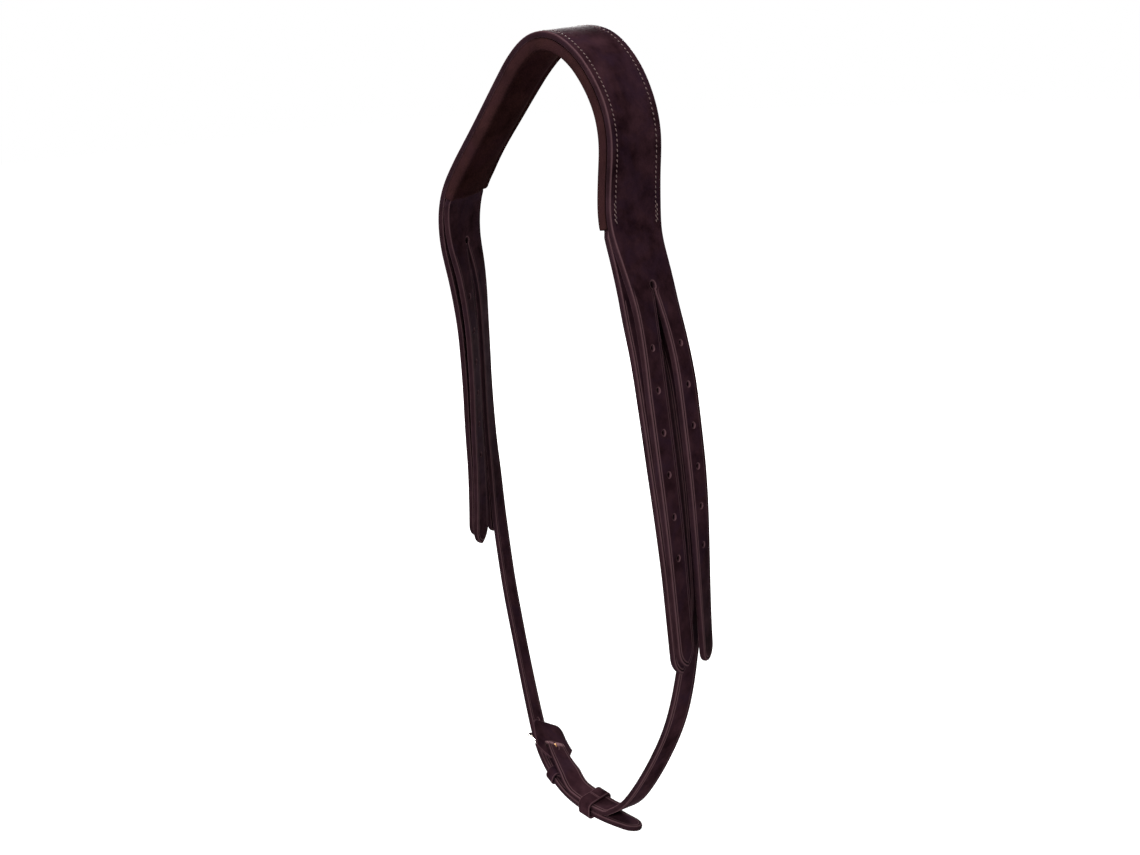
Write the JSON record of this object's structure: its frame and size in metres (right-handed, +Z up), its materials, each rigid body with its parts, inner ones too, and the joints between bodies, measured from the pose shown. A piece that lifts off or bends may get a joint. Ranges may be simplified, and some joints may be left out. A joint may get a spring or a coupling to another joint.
{
  "type": "double bridle headpiece",
  "caption": "Padded leather headpiece of a double bridle, hanging: crown split into punched billets in two layers on each side, with a throatlash buckled below through a keeper and a runner.",
  "frame": {"origin": "middle of the pad's underside at the top of the crown, where it rests on the horse's poll", "axes": "+Z up; the horse faces -Y, so +Y is towards its neck and +X is its left side"},
  "size_m": [0.1877, 0.0841, 0.4201],
  "materials": {
    "leather": "dark havana bridle leather, waxed, with rubbed edges",
    "lining": "soft lining leather, matt",
    "foam": "felt and foam filling, hidden inside the pad",
    "steel": "polished stainless steel",
    "brass": "polished, with a warm golden shine"
  },
  "bodies": {
    "headpiece": {"crown_outer": "leather", "crown_inner": "leather", "pad_lining": "lining", "pad_foam": "foam", "throat_strap_long": "leather", "throat_strap_short": "leather", "buckle_safe": "leather", "fixed_keeper": "leather"},
    "left_front_billet": {"left_front_billet": "leather"},
    "left_rear_billet": {"left_rear_billet": "leather"},
    "left_inner_billet": {"left_inner_billet": "leather"},
    "right_front_billet": {"right_front_billet": "leather"},
    "right_rear_billet": {"right_rear_billet": "leather"},
    "right_inner_billet": {"right_inner_billet": "leather"},
    "buckle_frame": {"buckle_frame": "steel"},
    "buckle_tongue": {"buckle_tongue": "brass"},
    "runner": {"runner_keeper": "leather"}
  },
  "joints": [
    {"name": "left_front_billet_bend", "type": "hinge", "parent": "headpiece", "child": "left_front_billet", "pos_m": [0.05573, -0.02489, -0.10873], "axis": [-0.0384, -0.9925, 0.1158], "range_deg": [0, 35], "stiffness_Nm_per_rad": 0.15},
    {"name": "left_rear_billet_bend", "type": "hinge", "parent": "headpiece", "child": "left_rear_billet", "pos_m": [0.05658, -0.00305, -0.11128], "axis": [-0.0384, -0.9925, 0.1158], "range_deg": [0, 35], "stiffness_Nm_per_rad": 0.15},
    {"name": "left_inner_billet_bend", "type": "hinge", "parent": "headpiece", "child": "left_inner_billet", "pos_m": [0.04698, -0.02492, -0.11191], "axis": [0.0384, 0.9925, -0.1158], "range_deg": [0, 30], "stiffness_Nm_per_rad": 0.15},
    {"name": "right_front_billet_bend", "type": "hinge", "parent": "headpiece", "child": "right_front_billet", "pos_m": [-0.0813, -0.00932, -0.09957], "axis": [-0.2957, 0.9474, 0.1224], "range_deg": [0, 35], "stiffness_Nm_per_rad": 0.15},
    {"name": "right_rear_billet_bend", "type": "hinge", "parent": "headpiece", "child": "right_rear_billet", "pos_m": [-0.0878, 0.01152, -0.09688], "axis": [-0.2957, 0.9474, 0.1224], "range_deg": [0, 35], "stiffness_Nm_per_rad": 0.15},
    {"name": "right_inner_billet_bend", "type": "hinge", "parent": "headpiece", "child": "right_inner_billet", "pos_m": [-0.07385, -0.00699, -0.0996], "axis": [0.2957, -0.9474, -0.1224], "range_deg": [0, 30], "stiffness_Nm_per_rad": 0.15},
    {"name": "buckle_frame_swing", "type": "hinge", "parent": "headpiece", "child": "buckle_frame", "pos_m": [-0.02706, -0.01678, -0.3946], "axis": [-0.2539, -0.8027, 0.5397], "range_deg": [0, 4]},
    {"name": "buckle_tongue_swing", "type": "hinge", "parent": "buckle_frame", "child": "buckle_tongue", "pos_m": [-0.02706, -0.01678, -0.3946], "axis": [-0.2539, -0.8027, 0.5397], "range_deg": [0, 3]},
    {"name": "runner_slide", "type": "slide", "parent": "headpiece", "child": "runner", "axis": [-0.9874, 0.1577, 0.0107], "range_m": [-0.003, 0.003]}
  ]
}
